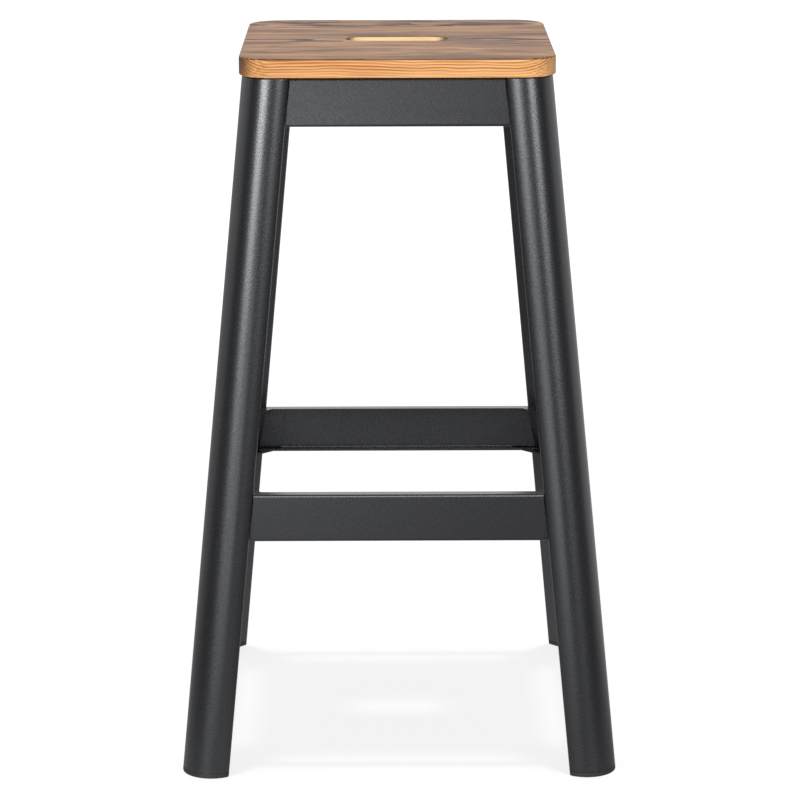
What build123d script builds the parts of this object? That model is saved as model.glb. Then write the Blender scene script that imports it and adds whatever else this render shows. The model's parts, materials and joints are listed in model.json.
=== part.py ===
from build123d import *
from math import sqrt
import os

# Bar stool with footrest. Millimetres, +Z up, +X to the right, +Y to the rear.
# The origin is on the floor, below the middle of the seat.
# The frame repeats every quarter turn, so each piece is built once, at the rear right corner or
# at the rear side, and turned into its other places.

# Seat panel with a hand slot
seat_height = 760
seat_width = 330
seat_thickness = 20
seat_corner_radius = 35
seat_top_round = 2.5
seat_bottom_round = 1.5
slot_length = 110
slot_width = 40
slot_edge_round = 2

# Legs: half-round tube, flat side towards the stool's middle, leaning alike in X and Y
leg_round_radius = 32
leg_flat_depth = 3
leg_corner_radius = 4
leg_wall = 1.5
leg_seat_inset = 35
leg_spread = 70.4

# Plates that close the tops of the tubes, and the rubber pads on them
cap_thickness = 3
cap_clearance = 0.2
pad_thickness = 1.5
pad_radius = 9

# Foot glides: a flange flush with the tube, and a hollow plug inside it
glide_flange = 5
glide_plug_height = 20
glide_plug_wall = 3
glide_clearance = 0.2
glide_edge_round = 1

# Rails: folded C-channels, web outside, flanges inwards
rail_height = 51
rail_width = 13.5
rail_sheet = 2
rail_inner_bend = 1
rail_face_offset = 22
rail_spare_end = 4
rail_leg_gap = 0.6
footrest_height = 303

# Corner brackets
bracket_sheet = 2
bracket_plate_reach = 36
bracket_wing_end = 40
bracket_bend_clearance = 0.5
bracket_seam = 0.5

# Bolts that hold the legs to the brackets, and their flush rivet nuts
bolt_diameter = 8
bolt_length = 18
bolt_hole_clearance = 0.5
bolt_head_diameter = 14
bolt_head_height = 4.4
bolt_socket_width = 5
bolt_socket_depth = 2.6
nut_thread_fit = 0.1
nut_body_diameter = 11
nut_bulge_diameter = 14
nut_bulge_length = 5
nut_length = 17

# Seat screws and washers, up through the aprons' top flanges
screw_diameter = 4
screw_length = 18
screw_head_diameter = 8
screw_head_height = 2.8
screw_recess_diameter = 2.8
screw_recess_depth = 1.4
screw_hole_clearance = 0.5
screw_thread_fit = 0.2
screw_tip_room = 1
screw_spacing = 160
washer_diameter = 9
washer_thickness = 0.8
driver_hole_diameter = 9

# Levels and slopes that follow from these
seat_bottom = seat_height - seat_thickness
leg_top = seat_bottom - pad_thickness
leg_head_offset = seat_width / 2 - leg_seat_inset
leg_foot_offset = leg_head_offset + leg_spread
splay = leg_spread / leg_top
flat_slope = sqrt(1 + 2 * splay ** 2)
quarter_turn = 90
corner_names = ["rear_right", "rear_left", "front_left", "front_right"]
side_names = ["rear", "left", "front", "right"]


def leg_offset(height):
    """Distance in X, and in Y, from the stool's middle to the centre of the leg's round."""
    return leg_foot_offset - splay * height


def half_round(inset):
    """The leg's section about the centre of its round, smaller all round by an inset.

    An inset past the corner radius leaves sharp corners."""
    radius = leg_round_radius - inset
    flat = leg_flat_depth + inset
    section = Circle(radius) & Pos(flat + radius, 0) * Rectangle(2 * radius, 2 * radius)
    if inset < leg_corner_radius:
        section = fillet(section.vertices(), leg_corner_radius - inset)
    return section


def along_leg(section, low, high):
    """A section drawn about the leg's centre, extruded along the leg between two levels."""
    start = Pos(leg_offset(low), leg_offset(low), low) * Rot(0, 0, quarter_turn / 2) * section
    rise = high - low
    run = Vector(-splay * rise, -splay * rise, rise)
    return extrude(start, amount=run.length, dir=run)


def leg_envelope(gap):
    """The leg's outside as one solid, larger all round by a gap."""
    return along_leg(half_round(-gap), 0, leg_top)


def flat_plane(height):
    """Plane on the middle of the leg's flat, facing the stool's middle."""
    place = leg_offset(height) + leg_flat_depth / sqrt(2)
    return Plane(origin=(place, place, height), x_dir=(1, -1, 0), z_dir=(-1, -1, -2 * splay))


def rail_face(top):
    """Distance from the stool's middle to the outer face of a ring of rails."""
    return leg_offset(top - rail_height / 2) + rail_face_offset


def screw_places():
    """Seat screw positions in plan, on the rear apron."""
    across = rail_face(leg_top) - (rail_sheet + rail_inner_bend + rail_width) / 2
    return [(-screw_spacing / 2, across), (screw_spacing / 2, across)]


def stud(x, y, low, diameter, height):
    """A vertical cylinder that stands on a level."""
    return Pos(x, y, low + height / 2) * Cylinder(diameter / 2, height)


def turned(shape, step):
    return Rot(0, 0, quarter_turn * step) * shape


def all_round(shapes):
    """Copies of the shapes in all four quarter turns."""
    return [turned(shape, step) for step in range(4) for shape in shapes]


def bolt_levels():
    return [leg_top - rail_height / 2, footrest_height - rail_height / 2]


def seat_panel():
    outline = RectangleRounded(seat_width, seat_width, seat_corner_radius)
    slot = SlotOverall(slot_length, slot_width)
    panel = Pos(0, 0, seat_bottom) * extrude(outline - slot, seat_thickness)
    panel = round_seat_edges(panel, seat_height, seat_top_round)
    panel = round_seat_edges(panel, seat_bottom, seat_bottom_round)
    depth = screw_length - washer_thickness - rail_sheet - pad_thickness + screw_tip_room
    holes = [stud(x, y, seat_bottom, screw_diameter + screw_thread_fit, depth) for x, y in screw_places()]
    return panel - all_round(holes)


def round_seat_edges(panel, level, rim_round):
    """Round the rim and the slot's edge on one face of the seat."""
    face = panel.faces().filter_by(Axis.Z).sort_by(lambda f: abs(f.center().Z - level))[0]
    panel = fillet(face.outer_wire().edges(), rim_round)
    face = panel.faces().filter_by(Axis.Z).sort_by(lambda f: abs(f.center().Z - level))[0]
    return fillet(face.inner_wires()[0].edges(), slot_edge_round)


def leg():
    outside = along_leg(half_round(0), glide_flange, leg_top)
    inside = along_leg(half_round(leg_wall), glide_flange, leg_top)
    nut_hole = Cylinder(nut_body_diameter / 2, 4 * leg_wall)
    return outside - inside - [flat_plane(level) * nut_hole for level in bolt_levels()]


def leg_cap():
    return along_leg(half_round(leg_wall + cap_clearance), leg_top - cap_thickness, leg_top)


def seat_pad():
    middle = (leg_flat_depth + leg_round_radius) / 2 / sqrt(2)
    place = leg_offset(leg_top) + middle
    return stud(place, place, leg_top, 2 * pad_radius, pad_thickness)


def glide():
    flange = along_leg(half_round(0), 0, glide_flange)
    flange = fillet(flange.faces().sort_by(Axis.Z)[0].edges(), glide_edge_round)
    plug_inset = leg_wall + glide_clearance
    plug_top = glide_flange + glide_plug_height
    plug = along_leg(half_round(plug_inset), glide_flange, plug_top)
    hollow = along_leg(half_round(plug_inset + glide_plug_wall), glide_flange, plug_top)
    return flange + (plug - hollow)


def channel(top):
    """The rail's folded section on the rear side, drawn in Y and Z."""
    outside = Rectangle(rail_width, rail_height)
    outside = fillet(outside.vertices().group_by(Axis.X)[-1], rail_inner_bend + rail_sheet)
    inside = Rectangle(rail_width, rail_height - 2 * rail_sheet)
    inside = fillet(inside.vertices().group_by(Axis.X)[-1], rail_inner_bend)
    section = outside - Pos(-rail_sheet, 0) * inside
    return Plane.YZ * Pos(rail_face(top) - rail_width / 2, top - rail_height / 2) * section


def rail(top):
    """A rail on the rear side, its ends coped to the two legs."""
    half_length = leg_offset(top - rail_height / 2) + rail_spare_end
    bar = extrude(channel(top), half_length, both=True)
    cope = leg_envelope(rail_leg_gap)
    return bar - [cope, turned(cope, 1)]


def apron():
    bar = rail(leg_top)
    low_flange = leg_top - rail_height
    for x, y in screw_places():
        bar -= stud(x, y, leg_top - rail_sheet, screw_diameter + screw_hole_clearance, rail_sheet)
        bar -= stud(x, y, low_flange, driver_hole_diameter, rail_sheet)
    return bar


def bracket(top):
    """Corner bracket: back plate on the leg's flat, wings on the rails, plates between the flanges."""
    bottom = top - rail_height
    web = rail_face(top) - rail_sheet
    edge = rail_face(top) - rail_width - bracket_seam
    room = rail_sheet + rail_inner_bend + bracket_bend_clearance
    leg_solid = leg_envelope(0)
    strip = Pos(leg_flat_depth - bracket_sheet / 2, 0) * Rectangle(bracket_sheet, 4 * leg_round_radius)
    back = along_leg(strip, bottom + room, top - room) & corner_block(web, bottom, top)
    spine = along_leg(strip, bottom, top) & corner_block(edge, bottom, top)
    plates = [corner_plate(edge, level) - leg_solid for level in (bottom, top - bracket_sheet)]
    wing = bracket_wing(web, bottom + room, top - room) - leg_solid
    other_wing = mirror(wing, about=Plane(origin=(0, 0, 0), z_dir=(1, -1, 0)))
    hole_radius = (bolt_diameter + bolt_hole_clearance) / 2
    hole = flat_plane((top + bottom) / 2) * Cylinder(hole_radius, 4 * bracket_sheet)
    return back + spine + plates + wing + other_wing - hole


def corner_block(limit, low, high):
    """Block that reaches out to a limit in X and in Y, between two levels."""
    return Pos(limit / 2, limit / 2, (low + high) / 2) * Box(limit, limit, high - low)


def corner_plate(edge, low):
    """Three-cornered plate in the angle between the flanges' edges."""
    far = edge - bracket_plate_reach
    outline = Polyline((edge, edge), (far, edge), (edge, far), close=True)
    return Pos(0, 0, low) * extrude(make_face(outline), bracket_sheet)


def bracket_wing(web, low, high):
    """Wing on the rear rail's web, its free end parallel to the leg."""
    near = leg_offset(low) - bracket_wing_end
    length = leg_offset(low) - near
    start = Pos(near + length / 2, web - bracket_sheet / 2, low) * Rectangle(length, bracket_sheet)
    rise = high - low
    run = Vector(-splay * rise, 0, rise)
    return extrude(start, amount=run.length, dir=run)


def leg_bolt(level):
    """Button-head bolt through the bracket's back plate into the leg."""
    radius = bolt_head_diameter / 2
    seat = bracket_sheet / flat_slope
    head = Pos(0, 0, seat + bolt_head_height / 2) * Cylinder(radius, bolt_head_height)
    head = fillet(head.faces().sort_by(Axis.Z)[-1].edges(), bolt_head_height / 2)
    hexagon = RegularPolygon(bolt_socket_width / 2, 6, major_radius=False)
    socket = Pos(0, 0, seat + bolt_head_height - bolt_socket_depth) * extrude(hexagon, bolt_socket_depth)
    shank = Pos(0, 0, seat - bolt_length / 2) * Cylinder(bolt_diameter / 2, bolt_length)
    return flat_plane(level) * (head - socket + shank)


def rivet_nut(level):
    """Flush rivet nut in the leg's flat, bulged behind the wall."""
    wall = leg_wall / flat_slope
    body = Pos(0, 0, -nut_length / 2) * Cylinder(nut_body_diameter / 2, nut_length)
    bulge = Pos(0, 0, -wall - nut_bulge_length / 2) * Cylinder(nut_bulge_diameter / 2, nut_bulge_length)
    bore = Pos(0, 0, -nut_length / 2) * Cylinder((bolt_diameter + nut_thread_fit) / 2, nut_length)
    return flat_plane(level) * (body + bulge - bore)


def seat_screw(x, y):
    """Pan-head screw, head below the washer and shank up into the seat."""
    head_top = leg_top - rail_sheet - washer_thickness
    head = stud(x, y, head_top - screw_head_height, screw_head_diameter, screw_head_height)
    head = fillet(head.faces().sort_by(Axis.Z)[0].edges(), screw_head_height / 2)
    recess = stud(x, y, head_top - screw_head_height, screw_recess_diameter, screw_recess_depth)
    return head - recess + stud(x, y, head_top, screw_diameter, screw_length)


def seat_washer(x, y):
    low = leg_top - rail_sheet - washer_thickness
    hole = stud(x, y, low, screw_diameter + screw_hole_clearance, washer_thickness)
    return stud(x, y, low, washer_diameter, washer_thickness) - hole


def save(shape, name):
    export_step(shape, os.path.join("parts", name + ".step"))


def save_corners(shape, kind):
    for step, corner in enumerate(corner_names):
        save(turned(shape, step), kind + "_" + corner)


def save_sides(shape, kind):
    for step, side in enumerate(side_names):
        save(turned(shape, step), kind + "_" + side)


os.makedirs("parts", exist_ok=True)
save(seat_panel(), "seat_panel")
save_corners(leg(), "leg")
save_corners(leg_cap(), "leg_cap")
save_corners(seat_pad(), "seat_pad")
save_corners(glide(), "glide")
save_sides(apron(), "apron")
save_sides(rail(footrest_height), "footrest")
save_corners(bracket(leg_top), "apron_bracket")
save_corners(bracket(footrest_height), "footrest_bracket")
save(Compound(children=all_round([leg_bolt(level) for level in bolt_levels()])), "leg_bolts")
save(Compound(children=all_round([rivet_nut(level) for level in bolt_levels()])), "leg_rivet_nuts")
save(Compound(children=all_round([seat_screw(x, y) for x, y in screw_places()])), "seat_screws")
save(Compound(children=all_round([seat_washer(x, y) for x, y in screw_places()])), "seat_washers")
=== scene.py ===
# %% [markdown]
# # A bar stool with a footrest
#
# This lesson dresses a bar stool: a square wooden seat with a hand slot, four leaning half-round steel legs,
# and two rings of folded steel rails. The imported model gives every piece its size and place.
# Here the pieces that show get clean, softly edged meshes, and each surface gets a finish of its own.

# %% Load the frame
import bpy
import bmesh
import json
from math import atan2, cos, degrees, pi, radians, sin, sqrt
from mathutils import Matrix, Vector


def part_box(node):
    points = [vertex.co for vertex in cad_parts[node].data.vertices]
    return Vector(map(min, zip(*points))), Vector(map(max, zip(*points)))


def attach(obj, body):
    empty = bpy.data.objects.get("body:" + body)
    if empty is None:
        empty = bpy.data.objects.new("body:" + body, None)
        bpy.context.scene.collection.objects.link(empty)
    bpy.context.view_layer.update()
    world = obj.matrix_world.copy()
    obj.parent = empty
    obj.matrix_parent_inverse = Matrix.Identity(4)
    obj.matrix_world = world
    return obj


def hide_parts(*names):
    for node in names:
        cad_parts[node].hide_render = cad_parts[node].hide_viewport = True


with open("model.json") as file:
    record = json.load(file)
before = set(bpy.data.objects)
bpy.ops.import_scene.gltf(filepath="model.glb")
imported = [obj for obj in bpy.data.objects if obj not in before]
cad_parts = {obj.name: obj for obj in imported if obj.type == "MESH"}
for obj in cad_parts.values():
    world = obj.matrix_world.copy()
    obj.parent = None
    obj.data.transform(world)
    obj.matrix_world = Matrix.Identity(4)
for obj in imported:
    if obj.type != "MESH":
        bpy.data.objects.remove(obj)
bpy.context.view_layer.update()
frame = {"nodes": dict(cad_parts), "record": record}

mm = 0.001

# %% [markdown]
# ## The camera
#
# The stool is seen from the front through a long lens, from a little above the seat, so the seat's top shows
# as a thin strip and the rear legs peep out inside the front ones. Such a view is set by where the camera
# stands, how far it looks down, and its lens. A small roll makes the picture's own slight tilt.
# The camera is turned by matrices, because then each step is one plain turn about one axis.

# %% Camera
camera_distance = 3.4277
camera_height = 1.1990
camera_offset = 0.0025
look_down = radians(13.786)
look_aside = radians(-0.25)
camera_roll = radians(-0.13)
lens_mm = 143.14
sensor_mm = 36

bpy.ops.object.camera_add()
camera = bpy.context.object
camera.name = "camera"
turn_aside = Matrix.Rotation(look_aside, 4, "Z")
camera.matrix_world = (
    turn_aside
    @ Matrix.Translation((camera_offset, -camera_distance, camera_height))
    @ Matrix.Rotation(pi / 2 - look_down, 4, "X")
    @ Matrix.Rotation(camera_roll, 4, "Z")
)
camera.data.sensor_width = sensor_mm
camera.data.lens = lens_mm
bpy.context.scene.camera = camera
bpy.context.scene.view_settings.view_transform = "Standard"
print("camera:", [round(v, 3) for v in camera.location], "lens", lens_mm, "mm")

# %% [markdown]
# ## Building with nodes
#
# Floor, room, lamps and finishes are all made of shader nodes. Adding nodes one by one takes four or five
# lines each, so a few small helpers add a node, link it and give back its output in one line.

# %% Adding nodes
def new_material(name):
    """A node material with nothing in it but its output."""
    material = bpy.data.materials.new(name)
    material.use_nodes = True
    material.node_tree.nodes.clear()
    output = add(material.node_tree, "OutputMaterial", {})
    return material, material.node_tree, output


def add(tree, kind, sockets, **settings):
    """Add a shader node with its settings. Its input sockets take values or other nodes' outputs."""
    node = tree.nodes.new("ShaderNode" + kind)
    for name, value in settings.items():
        setattr(node, name, value)
    for name, value in sockets.items():
        if isinstance(value, bpy.types.NodeSocket):
            tree.links.new(value, node.inputs[name])
        else:
            node.inputs[name].default_value = value
    return node


print("node helpers: new_material and add")

# %% Sums and mixes
def maths(tree, operation, first, second=0.0):
    """One sum on one or two values."""
    return add(tree, "Math", {0: first, 1: second}, operation=operation).outputs[0]


def weighted_sum(tree, *terms):
    """Add up values, each times its share."""
    total = 0.0
    for value, share in terms:
        total = maths(tree, "ADD", total, maths(tree, "MULTIPLY", value, share))
    return total


def between(tree, value, low, high, start=0.0, end=1.0):
    """Carry a value smoothly from one range to another, and hold it at the ends."""
    sockets = {"Value": value, "From Min": low, "From Max": high, "To Min": start, "To Max": end}
    return add(tree, "MapRange", sockets, interpolation_type="SMOOTHSTEP").outputs["Result"]


def mix_values(tree, factor, first, second):
    """A value between two others. The node keeps its values at sockets 2 and 3, and its result at 0."""
    return add(tree, "Mix", {0: factor, 2: first, 3: second}).outputs[0]


def mix_colours(tree, factor, first, second):
    """A colour between two others. The node keeps its colours at sockets 6 and 7, and its result at 2."""
    return add(tree, "Mix", {0: factor, 6: first, 7: second}, data_type="RGBA").outputs[2]


print("node helpers: maths, weighted_sum, between, mix_values and mix_colours")

# %% [markdown]
# ## The paper
#
# The stool stands on white paper. Lamps that make paper pure white would wash out the stool, so the paper
# glows white to the camera by itself, and near the stool a share of it is left matte, to take the shadow.
# From below it is clear, so that the stool's underside can be looked at. Black paint shows little but
# reflections, so in those the paper has a brightness of its own: most far in front, and little at the sides.

# %% Paper in reflections
mirrored_near_left = 0.38
mirrored_near_right = 0.24
mirrored_far_left = 2.4
mirrored_far_right = 0.10
mirrored_aside = 0.13
mirrored_back_left = 0.38
mirrored_back_right = 0.65
# Where one brightness goes over into the next, in metres along X or Y
near_aside = (0.2, 0.8)
far_aside = (0.6, 1.3)
near_to_far = (-0.9, -3.2)
front_to_back = (-0.5, 0.5)
half_width = 0.22
back_half_width = 1.0


def mirrored_paper(tree, place):
    """How bright the paper is in a reflection: brightest far in front and to the left, dim at the sides."""
    parts = add(tree, "SeparateXYZ", {0: place})
    across = parts.outputs["X"]
    depth = parts.outputs["Y"]
    aside = maths(tree, "ABSOLUTE", across)
    near = between(tree, across, -half_width, half_width, mirrored_near_left, mirrored_near_right)
    near = mix_values(tree, between(tree, aside, *near_aside), near, mirrored_aside)
    far = between(tree, across, -half_width, half_width, mirrored_far_left, mirrored_far_right)
    far = mix_values(tree, between(tree, aside, *far_aside), far, mirrored_aside)
    front = mix_values(tree, between(tree, depth, *near_to_far), near, far)
    back = between(tree, across, -back_half_width, back_half_width, mirrored_back_left, mirrored_back_right)
    return mix_values(tree, between(tree, depth, *front_to_back), front, back)


print("paper in reflections: from", mirrored_far_right, "to", mirrored_far_left)

# %% Paper floor
floor_size = 40
white = (1, 1, 1, 1)
paper_share = 0.30
paper_glow = 1.12
shadow_reach = 1.0
shadow_end = 2.2


def paper_finish():
    """Paper that glows white to the camera, with a share near the stool left matte for its shadow."""
    material, tree, output = new_material("paper_white")
    place = add(tree, "TexCoord", {}).outputs["Object"]
    distance = add(tree, "VectorMath", {0: place}, operation="LENGTH").outputs["Value"]
    path = add(tree, "LightPath", {})
    mirrored = maths(tree, "MAXIMUM", path.outputs["Is Glossy Ray"], path.outputs["Is Transmission Ray"])
    seen_glow = between(tree, distance, shadow_reach, shadow_end, 1.0 - paper_share, 1.0)
    seen_glow = maths(tree, "MULTIPLY", path.outputs["Is Camera Ray"], seen_glow)
    share = maths(tree, "MAXIMUM", mirrored, seen_glow)
    strength = mix_values(tree, mirrored, paper_glow, mirrored_paper(tree, place))
    matte = add(tree, "BsdfDiffuse", {"Color": white})
    glow = add(tree, "Emission", {"Color": white, "Strength": strength})
    paper = add(tree, "MixShader", {0: share, 1: matte.outputs[0], 2: glow.outputs[0]})
    below = add(tree, "NewGeometry", {}).outputs["Backfacing"]
    below = maths(tree, "MULTIPLY", path.outputs["Is Camera Ray"], below)
    clear = add(tree, "BsdfTransparent", {})
    seen = add(tree, "MixShader", {0: below, 1: paper.outputs[0], 2: clear.outputs[0]})
    tree.links.new(seen.outputs[0], output.inputs["Surface"])
    return material


bpy.ops.object.select_all(action="DESELECT")
bpy.ops.mesh.primitive_plane_add(size=floor_size, location=(0, 0, 0))
floor = bpy.context.object
floor.name = "paper_floor"
floor.data.materials.append(paper_finish())
print("floor:", floor_size, "m of white paper")

# %% [markdown]
# ## The room
#
# Light from all around fills the shadows. One plain grey would do that, but it would leave the gloss flat,
# which is why a photographer sets white and black boards round a black object. So the gloss sees a dark room
# in front, grey sides, white paper behind and a bright strip high in front. The camera sees plain white.

# %% Room light
room_fill = 0.50
room_seen = 1.0
room_mirrored = 0.08
sides_mirrored = 0.66
paper_mirrored = 1.3
strip_mirrored = 5.0
# Where one brightness goes over into the next, as shares of a direction along Y or Z
side_edge = (-0.36, 0.18)
paper_edge = (0.35, 0.90)
strip_low = (0.38, 0.56)
strip_high = (0.78, 0.92)
strip_front = (-0.75, -0.45)


def mirrored_room(tree, direction):
    """What the gloss sees: a dark room in front, grey sides, white paper behind, a strip high in front."""
    parts = add(tree, "SeparateXYZ", {0: direction})
    backwards = parts.outputs["Y"]
    upwards = parts.outputs["Z"]
    walls = mix_values(tree, between(tree, backwards, *side_edge), room_mirrored, sides_mirrored)
    walls = mix_values(tree, between(tree, backwards, *paper_edge), walls, paper_mirrored)
    above_edge = between(tree, upwards, *strip_low)
    below_edge = between(tree, upwards, *strip_high, 1.0, 0.0)
    in_front = between(tree, backwards, *strip_front, strip_mirrored, 0.0)
    strip = maths(tree, "MULTIPLY", in_front, maths(tree, "MULTIPLY", above_edge, below_edge))
    return maths(tree, "ADD", walls, strip)


world = bpy.data.worlds.new("studio_room")
bpy.context.scene.world = world
world.use_nodes = True
room = world.node_tree
room.nodes.clear()
path = add(room, "LightPath", {})
direction = add(room, "TexCoord", {}).outputs["Generated"]
light = mix_values(room, path.outputs["Is Glossy Ray"], room_fill, mirrored_room(room, direction))
seen = maths(room, "MAXIMUM", path.outputs["Is Camera Ray"], path.outputs["Is Transmission Ray"])
light = mix_values(room, seen, light, room_seen)
backdrop = add(room, "Background", {"Color": white, "Strength": light})
add(room, "OutputWorld", {"Surface": backdrop.outputs[0]})
print("room: fill", room_fill, "and mirrored", room_mirrored, "with paper", paper_mirrored, "behind")

# %% [markdown]
# ## The lamps
#
# Two upright panels far in front draw the long highlights on the legs, where small lamps would only make
# spots. They fade downwards, as the highlights do, and they leave the floor alone: the stool's shadow comes
# from one more light, straight above.

# %% Lamps
panel_distance = 8.0
panel_height = 2.6
left_panel = {"turn": radians(25.5), "width": 3.3, "watts": 1440, "fade": 3.5}
right_panel = {"turn": radians(30), "width": 2.8, "watts": 980, "fade": 4.8}
sun_height = 3
sun_strength = 1.0
sun_spread = radians(4)

unlit_floor = bpy.data.collections.new("floor_without_panels")
unlit_floor.objects.link(floor)
unlit_floor.collection_objects[0].light_linking.link_state = "EXCLUDE"


def fade_downwards(lamp, fade):
    """Let a panel's light fade towards its lower edge, by the height on the panel."""
    lamp.use_nodes = True
    tree = lamp.node_tree
    tree.nodes.clear()
    place = add(tree, "NewGeometry", {}).outputs["Parametric"]
    height = add(tree, "SeparateXYZ", {0: place}).outputs["Y"]
    strength = maths(tree, "POWER", height, fade)
    emission = add(tree, "Emission", {"Strength": strength})
    add(tree, "OutputLight", {"Surface": emission.outputs[0]})


def light_panel(name, side, turn, width, watts, fade):
    """An upright panel of light in front of the stool, to one side, which leaves the floor alone."""
    place = (side * panel_distance * sin(turn), -panel_distance * cos(turn), panel_height / 2)
    bpy.ops.object.light_add(type="AREA", location=place, rotation=(pi / 2, 0, side * turn))
    panel = bpy.context.object
    panel.name = name
    panel.data.shape = "RECTANGLE"
    panel.data.size = width
    panel.data.size_y = panel_height
    panel.data.energy = watts
    panel.visible_camera = False
    panel.light_linking.receiver_collection = unlit_floor
    fade_downwards(panel.data, fade)
    print("lamp:", name, watts, "W")


light_panel("panel_left", -1, **left_panel)
light_panel("panel_right", 1, **right_panel)
bpy.ops.object.light_add(type="SUN", location=(0, 0, sun_height))
sun = bpy.context.object
sun.name = "light_from_above"
sun.data.energy = sun_strength
sun.data.angle = sun_spread
sun.visible_glossy = False
print("lamp: light from above,", sun_strength)

# %% [markdown]
# ## Modelling by hand, in code
#
# Every new piece starts as a primitive and is shaped in edit mode. With no window there is nobody to click
# on an edge, so a small helper selects vertices, edges or faces by a test of their place or direction.
# Modifiers are added, set and applied by another helper.

# %% Selecting and shaping
hair = 0.02 * mm
crease_angle = radians(60)
round_profile = 0.5


def take(piece):
    """Make a piece the only selected and active object."""
    bpy.ops.object.select_all(action="DESELECT")
    piece.select_set(True)
    bpy.context.view_layer.objects.active = piece


def begin_edit():
    """Go into edit mode on the active piece."""
    bpy.ops.object.mode_set(mode="EDIT")


def end_edit():
    """Leave edit mode."""
    bpy.ops.object.mode_set(mode="OBJECT")


def middle(part):
    """Middle of an edge or a face."""
    return sum((vertex.co for vertex in part.verts), Vector()) / len(part.verts)


def pick(kind, test):
    """In edit mode, select only the vertices, edges or faces that pass a test."""
    bpy.ops.mesh.select_mode(type=kind)
    bpy.ops.mesh.select_all(action="DESELECT")
    mesh = bmesh.from_edit_mesh(bpy.context.object.data)
    parts = {"VERT": mesh.verts, "EDGE": mesh.edges, "FACE": mesh.faces}[kind]
    for part in parts:
        if test(part):
            part.select_set(True)
    bmesh.update_edit_mesh(bpy.context.object.data)


def is_crease(edge):
    """True where two faces meet at a sharp angle."""
    return len(edge.link_faces) == 2 and edge.calc_face_angle() > crease_angle


def round_picked(offset, segments):
    """Round the selected edges."""
    bpy.ops.mesh.bevel(offset=offset, segments=segments, profile=round_profile)


def face_outwards():
    """In edit mode, turn every face of the piece to the outside."""
    bpy.ops.mesh.select_all(action="SELECT")
    bpy.ops.mesh.normals_make_consistent(inside=False)


print("selecting: places are compared to within", hair / mm, "mm")

# %% Modifiers
smooth_angle = radians(35)
soft_angle = radians(50)
soft_segments = 2


def apply_modifier(kind, **settings):
    """Add a modifier to the active piece, set it and apply it."""
    modifier = bpy.context.object.modifiers.new(kind.lower(), kind)
    for name, value in settings.items():
        setattr(modifier, name, value)
    bpy.ops.object.modifier_apply(modifier=modifier.name)


def cut(piece, cutter):
    """Take a cutter's shape out of a piece, and remove the cutter."""
    take(piece)
    apply_modifier("BOOLEAN", object=cutter, operation="DIFFERENCE", solver="EXACT")
    bpy.data.objects.remove(cutter)


def smooth(piece):
    """Smooth shading with flat faces kept flat and corners past an angle kept sharp."""
    take(piece)
    bpy.ops.object.shade_smooth_by_angle(angle=smooth_angle)
    apply_modifier("WEIGHTED_NORMAL", keep_sharp=True)


def soften_edges(piece, width):
    """Round every sharp edge a little, as a coat of paint or a file does."""
    take(piece)
    apply_modifier(
        "BEVEL", width=width, segments=soft_segments, limit_method="ANGLE", angle_limit=soft_angle
    )


print("modifiers: edges over", round(degrees(soft_angle)), "degrees are softened")

# %% [markdown]
# ## Copies in quarter turns
#
# The stool repeats itself in quarter turns, so one leg, one glide and one rail of each kind are modelled, at
# the rear, and copied about the middle. An Array modifier would join the copies into one mesh, but here each
# copy is an object with its own mesh, because it stands for a node of its own.

# %% Placing and copying
corner_names = ["rear_right", "rear_left", "front_left", "front_right"]
side_names = ["rear", "left", "front", "right"]
dressed = []


def dress(piece, node, slot):
    """Let a finished piece stand for a node of the frame, with that slot's finish."""
    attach(piece, "root")
    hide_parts(node)
    dressed.append((piece, slot))


def turned_copy(piece, angle):
    """A copy with its own mesh, turned about the stool's upright middle line."""
    take(piece)
    bpy.ops.object.duplicate()
    copy = bpy.context.object
    copy.rotation_euler.z = angle
    bpy.ops.object.transform_apply(location=False, rotation=True, scale=False)
    return copy


def quarter_copies(piece, kind, place_names, node_kind, slot):
    """Copies of a piece in all four quarter turns, which then stand for their nodes."""
    for step, place in enumerate(place_names):
        copy = turned_copy(piece, step * pi / 2)
        copy.name = kind + "_" + place
        dress(copy, node_kind + "_" + place, slot)
    bpy.data.objects.remove(piece)


print("places of the copies:", corner_names, side_names)

# %% [markdown]
# ## The seat
#
# The seat is a square panel with generous corners, softly rounded rims and a long slot to carry it by.
# A cube gets the corners by a bevel of its four upright edges, the slot is cut out with a stretched
# cylinder, and the rims are rounded last, so that the rounding runs clean round every corner.

# %% Seat panel
seat_corner = 35 * mm
corner_segments = 20
seat_low, seat_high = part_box("seat_panel")


def seat_blank():
    """A panel of the seat's size with its four upright edges rounded."""
    bpy.ops.object.select_all(action="DESELECT")
    bpy.ops.mesh.primitive_cube_add(size=1, location=(seat_low + seat_high) / 2, scale=seat_high - seat_low)
    blank = bpy.context.object
    blank.name = "wood_seat"
    bpy.ops.object.transform_apply(location=True, rotation=True, scale=True)
    begin_edit()
    pick("EDGE", lambda edge: abs(edge.verts[0].co.z - edge.verts[1].co.z) > hair)
    round_picked(seat_corner, corner_segments)
    end_edit()
    return blank


seat = seat_blank()
print("seat panel:", [round(v, 3) for v in seat.dimensions])

# %% Hand slot
slot_length = 110 * mm
slot_width = 40 * mm
slot_sides = 64


def slot_cutter():
    """A cylinder pulled apart along X into a bar with round ends."""
    thickness = seat_high.z - seat_low.z
    bpy.ops.object.select_all(action="DESELECT")
    bpy.ops.mesh.primitive_cylinder_add(
        vertices=slot_sides, radius=slot_width / 2, depth=2 * thickness, location=(0, 0, seat_high.z)
    )
    cutter = bpy.context.object
    bpy.ops.object.transform_apply(location=True, rotation=True, scale=True)
    begin_edit()
    for side in (-1, 1):
        pick("VERT", lambda vertex: side * vertex.co.x > hair)
        bpy.ops.transform.translate(value=(side * (slot_length - slot_width) / 2, 0, 0))
    end_edit()
    return cutter


cut(seat, slot_cutter())
print("hand slot:", round(slot_length, 3), "by", round(slot_width, 3))

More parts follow.
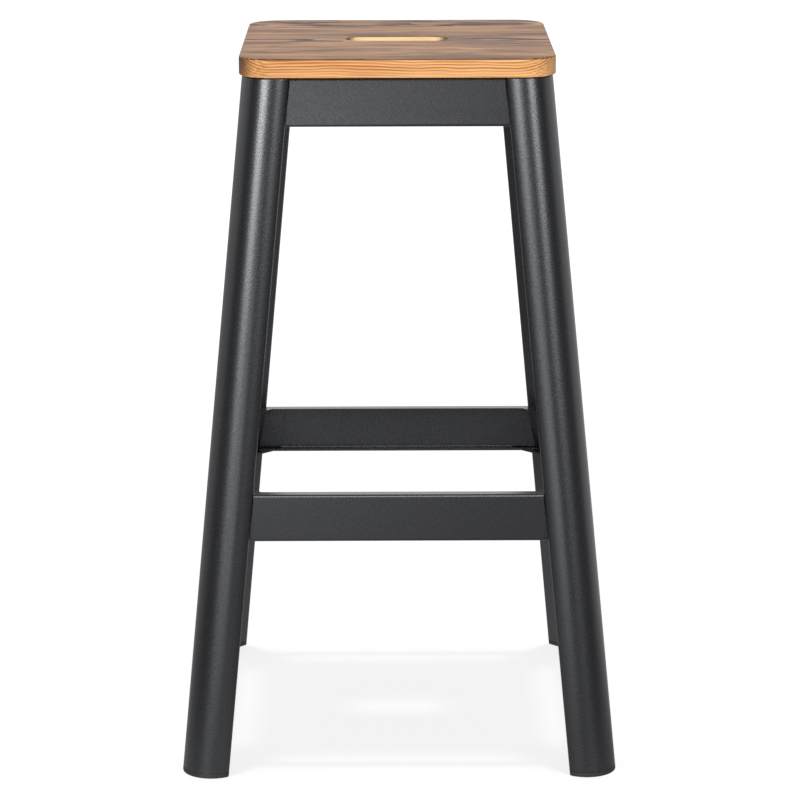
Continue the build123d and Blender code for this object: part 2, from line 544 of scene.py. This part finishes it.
# %% Seat rims
seat_top_round = 2.5 * mm
seat_bottom_round = 1.5 * mm
slot_round = 2 * mm
rim_segments = 5


def in_slot(edge):
    """True for the slot's edges, which all lie nearer to the middle than the seat's outer ones."""
    place = middle(edge)
    return abs(place.x) < slot_length and abs(place.y) < slot_width


def round_rims(level, rim_round):
    """Round the outer rim and the slot's rim on one face of the seat."""
    for chosen, size in ((in_slot, slot_round), (lambda edge: not in_slot(edge), rim_round)):
        pick("EDGE", lambda edge: is_crease(edge) and abs(middle(edge).z - level) < hair and chosen(edge))
        round_picked(size, rim_segments)


take(seat)
begin_edit()
round_rims(seat_high.z, seat_top_round)
round_rims(seat_low.z, seat_bottom_round)
end_edit()
smooth(seat)
dress(seat, "seat_panel", "seat_wood")
print("seat:", len(seat.data.polygons), "faces,", [round(v, 3) for v in seat.dimensions])

# %% [markdown]
# ## The legs
#
# Each leg is a half-round tube, its flat turned to the stool's middle, leaning out alike in two directions.
# Half a cylinder would need its corners rounded afterwards, which is hard where a flat meets a round face.
# So its section is drawn as by a pair of compasses: one vertex is pulled along the flat, then spun about
# the centre of the first corner, of the large round and of the second corner. The closed line is then
# extruded along the lean, and Solidify gives it the tube's wall.

# %% Leg line
leg_radius = 32 * mm
leg_spread = 70.4 * mm
leg_low, leg_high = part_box("leg_rear_right")
leg_lean = leg_spread / leg_high.z
foot_offset = leg_high.x - leg_radius + leg_lean * leg_low.z


def leg_centre(level):
    """Centre of the rear right leg's round at a level."""
    offset = foot_offset - leg_lean * level
    return Vector((offset, offset, level))


def leg_run(low, high):
    """The way along the leg from one level to another, as an extrude operator takes it."""
    return {"value": leg_centre(high) - leg_centre(low)}


print("leg: leans by", round(leg_lean, 4), "along X and along Y")

# %% Leg section
leg_flat = 3 * mm
leg_corner = 4 * mm
outward = Vector((1, 1, 0)).normalized()
sideways = Vector((-1, 1, 0)).normalized()
round_steps = 56
corner_steps = 8
first_plane = 1 * mm
merge_gap = 0.01 * mm


def spin(steps, angle, centre):
    """Spin the last vertex counterclockwise about a centre, seen from above."""
    bpy.ops.mesh.spin(steps=steps, angle=angle, center=centre, axis=(0, 0, -1))


def first_vertex(name, place):
    """A new piece that is one vertex at a place, in edit mode: a small plane, merged at its middle."""
    bpy.ops.object.select_all(action="DESELECT")
    bpy.ops.mesh.primitive_plane_add(size=first_plane, location=place)
    bpy.context.object.name = name
    bpy.ops.object.transform_apply(location=True, rotation=True, scale=True)
    begin_edit()
    bpy.ops.mesh.select_mode(type="VERT")
    bpy.ops.mesh.select_all(action="SELECT")
    bpy.ops.mesh.merge(type="CENTER")


def draw_half_round(name, grow, level):
    """Draw the rear right leg's section at a level, larger all round by grow, and stay in edit mode."""
    radius = leg_radius + grow
    flat = leg_flat - grow
    corner = leg_corner + grow
    reach = sqrt((radius - corner) ** 2 - (flat + corner) ** 2)
    turn = atan2(reach, flat + corner)
    centre = leg_centre(level)
    first_corner = centre + (flat + corner) * outward - reach * sideways
    second_corner = centre + (flat + corner) * outward + reach * sideways
    first_vertex(name, centre + flat * outward + reach * sideways)
    bpy.ops.mesh.extrude_region_move(TRANSFORM_OT_translate={"value": -2 * reach * sideways})
    spin(corner_steps, pi - turn, first_corner)
    spin(round_steps, 2 * turn, centre)
    spin(corner_steps, pi - turn, second_corner)
    bpy.ops.mesh.select_all(action="SELECT")
    bpy.ops.mesh.remove_doubles(threshold=merge_gap)
    return bpy.context.object


print("leg section: drawn in", 1 + round_steps + 2 * corner_steps, "edges")

# %% Leg tubes
leg_wall = 1.5 * mm
tube_round = 0.7 * mm

tube = draw_half_round("half_round_leg", 0, leg_low.z)
bpy.ops.mesh.extrude_edges_move(TRANSFORM_OT_translate=leg_run(leg_low.z, leg_high.z))
face_outwards()
end_edit()
apply_modifier("SOLIDIFY", thickness=leg_wall, offset=-1, use_even_offset=True)
soften_edges(tube, tube_round)
smooth(tube)
print("leg:", len(tube.data.polygons), "faces,", [round(v, 3) for v in tube.dimensions])
quarter_copies(tube, "half_round_leg", corner_names, "leg", "frame_black")

# %% [markdown]
# ## The foot glides
#
# A glide is moulded: a flange as wide as the tube, which the stool stands on, and a hollow plug that is
# pushed up into the tube. It starts from the leg's own section, so that flange and tube always match.
# The section is filled, extruded up, and then inset and extruded twice more: once up for the plug and once
# down for its hollow.

# %% Foot glides
glide_plug_height = 20 * mm
glide_plug_wall = 3 * mm
glide_clearance = 0.2 * mm
glide_round = 1 * mm
flange_round = 0.9 * mm
glide_segments = 4
plug_top = leg_low.z + glide_plug_height

glide = draw_half_round("foot_glide", 0, 0)
bpy.ops.mesh.edge_face_add()
bpy.ops.mesh.extrude_region_move(TRANSFORM_OT_translate=leg_run(0, leg_low.z))
bpy.ops.mesh.inset(thickness=leg_wall + glide_clearance)
bpy.ops.mesh.extrude_region_move(TRANSFORM_OT_translate=leg_run(leg_low.z, plug_top))
bpy.ops.mesh.inset(thickness=glide_plug_wall)
bpy.ops.mesh.extrude_region_move(TRANSFORM_OT_translate=leg_run(plug_top, leg_low.z))
face_outwards()
pick("EDGE", lambda edge: is_crease(edge) and abs(middle(edge).z) < hair)
round_picked(glide_round, glide_segments)
end_edit()
soften_edges(glide, flange_round)
smooth(glide)
print("glide:", len(glide.data.polygons), "faces,", [round(v, 3) for v in glide.dimensions])
quarter_copies(glide, "foot_glide", corner_names, "glide", "glide_plastic")

# %% [markdown]
# ## The rails
#
# Each rail is sheet steel folded into a channel: an upright web outside and two flanges that point inwards.
# A box loses its ends and its inner side, its two outer edges are bevelled into bends, and Solidify makes
# the sheet: thickened last, it keeps its thickness round the bends. The ends are then cut to the legs' round
# by a copy of the leg that is larger by the gap.

# %% Folded channel
rail_sheet = 2 * mm
rail_inner_bend = 1 * mm
bend_segments = 6
# The least share of a face's normal that makes it face a way
facing = 0.5


def folded_channel(name, low, high):
    """A channel on the rear side between two corners of a box, open towards the stool's middle."""
    bpy.ops.object.select_all(action="DESELECT")
    bpy.ops.mesh.primitive_cube_add(size=1, location=(low + high) / 2, scale=high - low)
    channel = bpy.context.object
    channel.name = name
    bpy.ops.object.transform_apply(location=True, rotation=True, scale=True)
    begin_edit()
    pick("FACE", lambda face: face.normal.y < -facing or abs(face.normal.x) > facing)
    bpy.ops.mesh.delete(type="FACE")
    pick("EDGE", lambda edge: is_crease(edge) and abs(middle(edge).y - high.y) < hair)
    round_picked(rail_inner_bend + rail_sheet, bend_segments)
    end_edit()
    apply_modifier("SOLIDIFY", thickness=rail_sheet, offset=-1, use_even_offset=True)
    return channel


print("channel: sheet of", rail_sheet / mm, "mm")

# %% Rails
rail_leg_gap = 0.6 * mm
rail_spare_end = 4 * mm


def leg_cutter():
    """The rear right leg as one solid, larger by the gap."""
    cutter = draw_half_round("leg_cutter", rail_leg_gap, 0)
    bpy.ops.mesh.edge_face_add()
    bpy.ops.mesh.extrude_region_move(TRANSFORM_OT_translate=leg_run(0, leg_high.z + leg_radius))
    face_outwards()
    end_edit()
    return cutter


def rail(name, node):
    """A rail with its ends cut to the two rear legs."""
    low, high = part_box(node)
    spare = Vector((rail_spare_end, 0, 0))
    channel = folded_channel(name, low - spare, high + spare)
    right_cutter = leg_cutter()
    cut(channel, turned_copy(right_cutter, pi / 2))
    cut(channel, right_cutter)
    return channel


apron = rail("apron", "apron_rear")
footrest = rail("footrest", "footrest_rear")
print("rails:", [round(v, 3) for v in apron.dimensions], [round(v, 3) for v in footrest.dimensions])

# %% [markdown]
# ## The holes in the aprons
#
# Screws go up through the aprons' upper flanges into the seat, and a wider hole in the lower flange lets the
# screwdriver through. Each hole is cut with a short cylinder before the edges are softened, so that the
# holes' edges are softened too.

# %% Apron holes
screw_spacing = 160 * mm
screw_hole = 4.5 * mm
driver_hole = 9 * mm
hole_sides = 32
hole_depth = 4 * rail_sheet
apron_low, apron_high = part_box("apron_rear")
screw_line = apron_low.y + (apron_high.y - apron_low.y - rail_sheet - rail_inner_bend) / 2


def round_hole(piece, place, diameter):
    """A hole through a flange."""
    bpy.ops.object.select_all(action="DESELECT")
    bpy.ops.mesh.primitive_cylinder_add(
        vertices=hole_sides, radius=diameter / 2, depth=hole_depth, location=place
    )
    cut(piece, bpy.context.object)


for screw_x in (-screw_spacing / 2, screw_spacing / 2):
    round_hole(apron, (screw_x, screw_line, apron_high.z), screw_hole)
    round_hole(apron, (screw_x, screw_line, apron_low.z), driver_hole)
print("apron with holes:", len(apron.data.polygons), "faces")

# %% Softened rails
paint_round = 0.4 * mm

for kind, piece in (("apron", apron), ("footrest", footrest)):
    soften_edges(piece, paint_round)
    smooth(piece)
    print(kind + ":", len(piece.data.polygons), "faces,", [round(v, 3) for v in piece.dimensions])
    quarter_copies(piece, "folded_" + kind, side_names, kind, "frame_black")

# %% [markdown]
# ## The corner brackets
#
# The pressed brackets already have their true shape in the frame, with knife-sharp edges. Building them
# anew would only repeat that shape, so a copy is merged into clean faces and its edges are rounded a little,
# because paint never keeps an edge that sharp.

# %% Corner brackets
bracket_round = 0.8 * mm
bracket_merge_gap = 0.005 * mm
flat_angle = radians(1)


def softened_copy(name, node):
    """A merged copy of a node, its edges rounded."""
    copy = bpy.data.objects.new(name, frame["nodes"][node].data.copy())
    bpy.context.scene.collection.objects.link(copy)
    take(copy)
    bpy.ops.mesh.customdata_custom_splitnormals_clear()
    begin_edit()
    bpy.ops.mesh.select_all(action="SELECT")
    bpy.ops.mesh.remove_doubles(threshold=bracket_merge_gap)
    bpy.ops.mesh.dissolve_limited(angle_limit=flat_angle)
    end_edit()
    soften_edges(copy, bracket_round)
    smooth(copy)
    return copy


for kind in ("apron_bracket", "footrest_bracket"):
    for corner_name in corner_names:
        node = kind + "_" + corner_name
        bracket = softened_copy("pressed_" + node, node)
        dress(bracket, node, "frame_black")
    print(kind + ":", len(bracket.data.polygons), "faces each")

# %% [markdown]
# ## The grain
#
# The frame is powder coated: a black paint with a fine grain that scatters every highlight into specks.
# The plastic, rubber and steel pieces have a grain too, each at its own scale. The grain could be made anew
# in every finish, but what several finishes share is best made once, as a node group with its own inputs.

# %% Grain group
finer = 2.3
grain_detail = 1.0


def grain_group():
    """Two sizes of fine noise: a tone about 0.5 and a height for a bump."""
    group = bpy.data.node_groups.new("fine_grain", "ShaderNodeTree")
    group.interface.new_socket("Grains per metre", in_out="INPUT", socket_type="NodeSocketFloat")
    group.interface.new_socket("Tone", in_out="OUTPUT", socket_type="NodeSocketFloat")
    group.interface.new_socket("Height", in_out="OUTPUT", socket_type="NodeSocketFloat")
    given = group.nodes.new("NodeGroupInput").outputs["Grains per metre"]
    result = group.nodes.new("NodeGroupOutput")
    place = add(group, "TexCoord", {}).outputs["Object"]
    coarse = add(group, "TexNoise", {"Vector": place, "Scale": given, "Detail": grain_detail})
    fine_scale = maths(group, "MULTIPLY", given, finer)
    fine = add(group, "TexNoise", {"Vector": place, "Scale": fine_scale, "Detail": grain_detail})
    both = maths(group, "ADD", coarse.outputs["Fac"], fine.outputs["Fac"])
    group.links.new(maths(group, "DIVIDE", both, 2), result.inputs["Tone"])
    group.links.new(both, result.inputs["Height"])
    return group


fine_grain = grain_group()


def add_grain(tree, grains_per_metre):
    """Place the grain in a material."""
    node = tree.nodes.new("ShaderNodeGroup")
    node.node_tree = fine_grain
    node.inputs["Grains per metre"].default_value = grains_per_metre
    return node


print("group:", fine_grain.name)

# %% [markdown]
# ## Paint, plastic, rubber and steel
#
# Each of these is a dark or grey surface with the grain in its tone and its gloss, because one flat colour
# would look like none of them. The coated and moulded ones have the grain in their relief too. What is the
# same all over, such as how strongly the paint mirrors, is set on the shader itself.

# %% Grained surfaces
grain_range = (0.3, 0.7)
grain_depth = 0.2 * mm
coat_gloss_range = 0.04
metal_gloss_range = 0.08
metal_grains = 260


def grained_finish(name, dark, light, grains_per_metre, bump, roughness, refraction, tint=white):
    """Paint, plastic or rubber with a fine grain in its tone and its surface."""
    material, tree, output = new_material(name)
    grain = add_grain(tree, grains_per_metre)
    tone = grain.outputs["Tone"]
    colour = mix_colours(tree, between(tree, tone, *grain_range), dark, light)
    gloss = between(tree, tone, *grain_range, roughness + coat_gloss_range, roughness - coat_gloss_range)
    height = grain.outputs["Height"]
    relief = add(tree, "Bump", {"Height": height, "Strength": bump, "Distance": grain_depth})
    sockets = {"Base Color": colour, "Roughness": gloss, "Normal": relief.outputs[0]}
    surface = add(tree, "BsdfPrincipled", sockets)
    surface.inputs["IOR"].default_value = refraction
    surface.inputs["Specular Tint"].default_value = tint
    tree.links.new(surface.outputs[0], output.inputs["Surface"])
    return material


def metal_finish(name, dark, light, roughness):
    """Plated steel with a faint cloudy tone."""
    material, tree, output = new_material(name)
    tone = add_grain(tree, metal_grains).outputs["Tone"]
    colour = mix_colours(tree, between(tree, tone, *grain_range), dark, light)
    gloss = between(tree, tone, *grain_range, roughness + metal_gloss_range, roughness - metal_gloss_range)
    surface = add(tree, "BsdfPrincipled", {"Base Color": colour, "Roughness": gloss, "Metallic": 1.0})
    tree.links.new(surface.outputs[0], output.inputs["Surface"])
    return material


print("grained surfaces: relief", grain_depth / mm, "mm deep")

# %% Paint, plastic, rubber and steel
finishes = {
    "frame_black": grained_finish(
        "powder_black", dark=(0.0035, 0.0035, 0.004, 1), light=(0.0115, 0.0115, 0.0128, 1),
        grains_per_metre=360, bump=0.15, roughness=0.285, refraction=1.85, tint=(0.93, 0.95, 1, 1),
    ),
    "glide_plastic": grained_finish(
        "moulded_black", dark=(0.014, 0.014, 0.015, 1), light=(0.020, 0.020, 0.021, 1),
        grains_per_metre=900, bump=0.15, roughness=0.5, refraction=1.5,
    ),
    "pad_rubber": grained_finish(
        "rubber_black", dark=(0.008, 0.008, 0.008, 1), light=(0.014, 0.014, 0.014, 1),
        grains_per_metre=1200, bump=0.2, roughness=0.75, refraction=1.45,
    ),
    "bolt_steel": metal_finish(
        "black_oxide", dark=(0.05, 0.05, 0.052, 1), light=(0.09, 0.09, 0.092, 1), roughness=0.38,
    ),
    "nut_steel": metal_finish(
        "zinc_plate", dark=(0.52, 0.52, 0.53, 1), light=(0.68, 0.68, 0.69, 1), roughness=0.34,
    ),
}
print("finishes:", [material.name for material in finishes.values()])

# %% [markdown]
# ## The wood's rings
#
# The seat is glued from three boards. Wood is a stack of yearly rings about a pith, so the pattern is
# solid: rings about a line along X under each board, a little tilted so that they run out in arches on
# the top. A flat pattern would break off at the edges, but rings in space run on over the rim and the ends.

# %% Boards
board_width = 110 * mm
pith_depth = 75 * mm
pith_depth_range = 45 * mm
pith_shift_range = 18 * mm
pith_tilt_range = 0.022


def board_values(tree, across):
    """Three random numbers for each board, and the distance across from the board's middle."""
    from_edge = maths(tree, "SUBTRACT", across, seat_low.y)
    count = maths(tree, "FLOOR", maths(tree, "DIVIDE", from_edge, board_width))
    random = add(tree, "TexWhiteNoise", {"W": count}, noise_dimensions="1D")
    parts = add(tree, "SeparateXYZ", {0: random.outputs["Color"]})
    board_edge = maths(tree, "MULTIPLY", count, board_width)
    board_middle = maths(tree, "ADD", board_edge, seat_low.y + board_width / 2)
    return *parts.outputs, maths(tree, "SUBTRACT", across, board_middle)


def ring_radius(tree, place):
    """Distance from the board's pith, with the tilt that lets the rings run out along the board."""
    parts = add(tree, "SeparateXYZ", {0: place})
    first, second, third, across = board_values(tree, parts.outputs["Y"])
    shift = between(tree, first, 0, 1, -pith_shift_range, pith_shift_range)
    depth = between(tree, second, 0, 1, pith_depth, pith_depth + pith_depth_range)
    tilt = between(tree, third, 0, 1, -pith_tilt_range, pith_tilt_range)
    beside = maths(tree, "SUBTRACT", across, shift)
    above = maths(tree, "ADD", maths(tree, "SUBTRACT", parts.outputs["Z"], seat_low.z), depth)
    spoke = add(tree, "CombineXYZ", {"Y": beside, "Z": above}).outputs[0]
    radius = add(tree, "VectorMath", {0: spoke}, operation="LENGTH").outputs["Value"]
    return maths(tree, "ADD", radius, maths(tree, "MULTIPLY", parts.outputs["X"], tilt))


print("wood: boards of", round(board_width, 3), "m")

# %% Yearly rings
ring_width = 2.6 * mm
ring_wander = 13 * mm
ring_tremble = 1.5 * mm
# Scales of noise along and across the grain
wander_scale = (7, 18)
tremble_scale = (30, 140)
noise_detail = 2.0
# Shares of a year's ring, and how dark the faintest and the strongest years are
late_wood = (0.25, 0.85)
ring_end = (0.93, 1.0)
year_strength = (0.40, 1.15)


def stretched_noise(tree, place, along, across, detail=noise_detail):
    """Noise that is drawn out along the grain."""
    mapped = add(tree, "Mapping", {"Vector": place, "Scale": (along, across, across)})
    noise = add(tree, "TexNoise", {"Vector": mapped.outputs[0], "Scale": 1.0, "Detail": detail})
    return noise.outputs["Fac"]


def ring_pattern(tree, place):
    """0 in pale early wood, rising to about 1 at each ring's dark end."""
    slow = stretched_noise(tree, place, *wander_scale)
    quick = stretched_noise(tree, place, *tremble_scale)
    radius = ring_radius(tree, place)
    wandered = weighted_sum(tree, (radius, 1.0), (slow, ring_wander), (quick, ring_tremble))
    years = maths(tree, "DIVIDE", wandered, ring_width)
    step = maths(tree, "FRACT", years)
    rise = between(tree, step, *late_wood)
    fall = between(tree, step, *ring_end, 1.0, 0.0)
    year = add(tree, "TexWhiteNoise", {"W": maths(tree, "FLOOR", years)}, noise_dimensions="1D")
    strength = between(tree, year.outputs["Value"], 0, 1, *year_strength)
    return maths(tree, "MULTIPLY", maths(tree, "MULTIPLY", rise, fall), strength)


print("wood: rings of", ring_width / mm, "mm")

# %% [markdown]
# ## The wood's faces
#
# The seat's top, its rim, its end grain and the walls of its slot each have a colour of their own, and the
# slot's walls a pale one that is painted light. A finish for each group of faces would leave hard borders,
# so one finish has masks instead. They come from the surface's direction, which goes over softly from one
# face to the next, and for the slot from the place.

# %% Wood faces
# Shares of the surface's direction between which a face begins
top_facing = (0.75, 0.95)
rim_facing = (0.25, 0.5)
end_facing = (0.45, 0.95)


def seat_faces(tree):
    """Masks from the surface's direction: the top, the rounded rim and the end grain."""
    facing_ways = add(tree, "SeparateXYZ", {0: add(tree, "NewGeometry", {}).outputs["Normal"]})
    upward = facing_ways.outputs["Z"]
    top = between(tree, upward, *top_facing)
    below_top = between(tree, upward, *top_facing, 1.0, 0.0)
    rim = maths(tree, "MULTIPLY", between(tree, upward, *rim_facing), below_top)
    end = between(tree, maths(tree, "ABSOLUTE", facing_ways.outputs["X"]), *end_facing)
    return top, rim, end


def slot_walls(tree, place):
    """1 on the walls of the hand slot."""
    parts = add(tree, "SeparateXYZ", {0: place})
    along = maths(tree, "ABSOLUTE", parts.outputs["X"])
    across = maths(tree, "ABSOLUTE", parts.outputs["Y"])
    in_length = maths(tree, "LESS_THAN", along, slot_length / 2 + slot_round)
    in_width = maths(tree, "LESS_THAN", across, slot_width / 2 + slot_round / 2)
    return maths(tree, "MULTIPLY", in_length, in_width)


print("wood: masks for the top, the rim, the end grain and the slot's walls")

# %% [markdown]
# ## The wood's colours
#
# The wood is grey brown on top, orange at the edges, and dark where the end grain drank more oil.
# In the slot it is pale, with painted light that stands in for the light falling on the slot's walls.
# Each face has a pale and a dark colour, because early and late wood never have the same one. The shade of
# rings and fibres chooses between the two, and the masks between the faces.

# %% Wood colours
top_pale = (0.53, 0.285, 0.140, 1)
top_dark = (0.075, 0.033, 0.023, 1)
edge_pale = (0.80, 0.44, 0.175, 1)
edge_dark = (0.42, 0.145, 0.036, 1)
# The slot's wall colours are painted light: paler than the rest of the wood, to stand in for light on the
# walls.
painted_light_wall_pale = (0.95, 0.72, 0.40, 1)
painted_light_wall_dark = (0.66, 0.34, 0.11, 1)
end_pale = (0.19, 0.078, 0.032, 1)
end_dark = (0.035, 0.014, 0.007, 1)
rim_brown = (0.10, 0.040, 0.018, 1)
rim_share = 0.9
edge_contrast = 1.25
# From the seat's left to its right, and from its underside to its top
edge_drift_range = (0.10, -0.12)
end_thirst = (1.0, 0.40)
end_drift_range = (-0.1, 0.5)


def wood_colour(tree, place, shade, top_shade):
    """The wood's colour: grey brown on top, orange at the edges, dark at the rim and in the end grain."""
    top, rim, end = seat_faces(tree)
    slot = slot_walls(tree, place)
    parts = add(tree, "SeparateXYZ", {0: place})
    along = parts.outputs["X"]
    height = parts.outputs["Z"]
    thirst = between(tree, along, seat_low.x, seat_high.x, *end_thirst)
    thirst = maths(tree, "MAXIMUM", thirst, slot)
    edge_drift = between(tree, along, seat_low.x, seat_high.x, *edge_drift_range)
    edge_shade = weighted_sum(tree, (shade, edge_contrast), (edge_drift, 1.0))
    end_shade = maths(tree, "ADD", shade, between(tree, height, seat_low.z, seat_high.z, *end_drift_range))
    top_colour = mix_colours(tree, top_shade, top_pale, top_dark)
    edge_colour = mix_colours(tree, edge_shade, edge_pale, edge_dark)
    # Painted light: the slot's walls get a paler colour, which stands in for the light that falls on them.
    painted_light_wall_colour = mix_colours(tree, shade, painted_light_wall_pale, painted_light_wall_dark)
    end_colour = mix_colours(tree, end_shade, end_pale, end_dark)
    colour = mix_colours(tree, slot, edge_colour, painted_light_wall_colour)
    colour = mix_colours(tree, maths(tree, "MULTIPLY", end, thirst), colour, end_colour)
    colour = mix_colours(tree, maths(tree, "MULTIPLY", rim, rim_share), colour, rim_brown)
    return mix_colours(tree, top, colour, top_colour)


print("wood: edges from", edge_pale[:3], "to", edge_dark[:3])

# %% [markdown]
# ## The wood's finish
#
# Between the rings run fine fibres, and broad clouds lie over both, because no board is even. Together
# they make two shades: one for the darker top, and one for the other faces and the gloss. The relief
# could be a noise of its own, but brushed wood wears down along its rings and fibres, so they give it here.

# %% Wood finish
wood_refraction = 1.38
fibre_scale = (9, 650)
fibre_detail = 3.0
fibre_range = (0.3, 0.7)
cloud_scale = (8, 40)
cloud_range = (0.3, 0.7)
cloud_strength = (0.45, 1.25)
ring_share = 0.65
fibre_share = 0.35
top_cloud_scale = (6, 22)
top_cloud_range = (0.35, 0.65)
top_cloud_strength = (-0.10, 0.40)
top_ring_share = 0.90
top_fibre_share = 0.35
ring_relief = -0.5
relief_strength = 0.35
relief_depth = 0.3 * mm
wood_roughness = (0.54, 0.66)


def top_shading(tree, place, rings, fine):
    """The top's shade: the rings in arches, fine fibres and broad clouds."""
    noise = stretched_noise(tree, place, *top_cloud_scale)
    clouds = between(tree, noise, *top_cloud_range, *top_cloud_strength)
    return weighted_sum(tree, (rings, top_ring_share), (fine, top_fibre_share), (clouds, 1.0))


def wood_finish():
    """Brushed and oiled wood."""
    material, tree, output = new_material("oiled_wood")
    place = add(tree, "TexCoord", {}).outputs["Object"]
    rings = ring_pattern(tree, place)
    fibre = stretched_noise(tree, place, *fibre_scale, fibre_detail)
    fine = between(tree, fibre, *fibre_range)
    clouds = between(tree, stretched_noise(tree, place, *cloud_scale), *cloud_range, *cloud_strength)
    shade = weighted_sum(tree, (rings, ring_share), (fine, fibre_share))
    shade = maths(tree, "MULTIPLY", shade, clouds)
    height = weighted_sum(tree, (rings, ring_relief), (fibre, 1.0))
    relief = add(tree, "Bump", {"Height": height, "Strength": relief_strength, "Distance": relief_depth})
    sockets = {
        "Base Color": wood_colour(tree, place, shade, top_shading(tree, place, rings, fine)),
        "Roughness": between(tree, shade, 0, 1, *wood_roughness),
        "Normal": relief.outputs[0],
    }
    surface = add(tree, "BsdfPrincipled", sockets)
    surface.inputs["IOR"].default_value = wood_refraction
    tree.links.new(surface.outputs[0], output.inputs["Surface"])
    return material


finishes["seat_wood"] = wood_finish()
print("wood:", len(finishes["seat_wood"].node_tree.nodes), "nodes")

# %% [markdown]
# ## Dressing every piece
#
# Each slot of the record gets one finish, so that all the painted pieces share one paint. New pieces know
# their slot, and a node that stays from the frame takes the slot that the record gives it.

# %% Dress
slot_of = {part["node"]: part["material_slot"] for part in frame["record"]["subparts"]}
for name, node in frame["nodes"].items():
    node.data.materials.clear()
    node.data.materials.append(finishes[slot_of[name]])
for piece, slot in dressed:
    piece.data.materials.clear()
    piece.data.materials.append(finishes[slot])
print("finishes:", len(finishes), "on", len(dressed), "new pieces and", len(frame["nodes"]), "nodes")
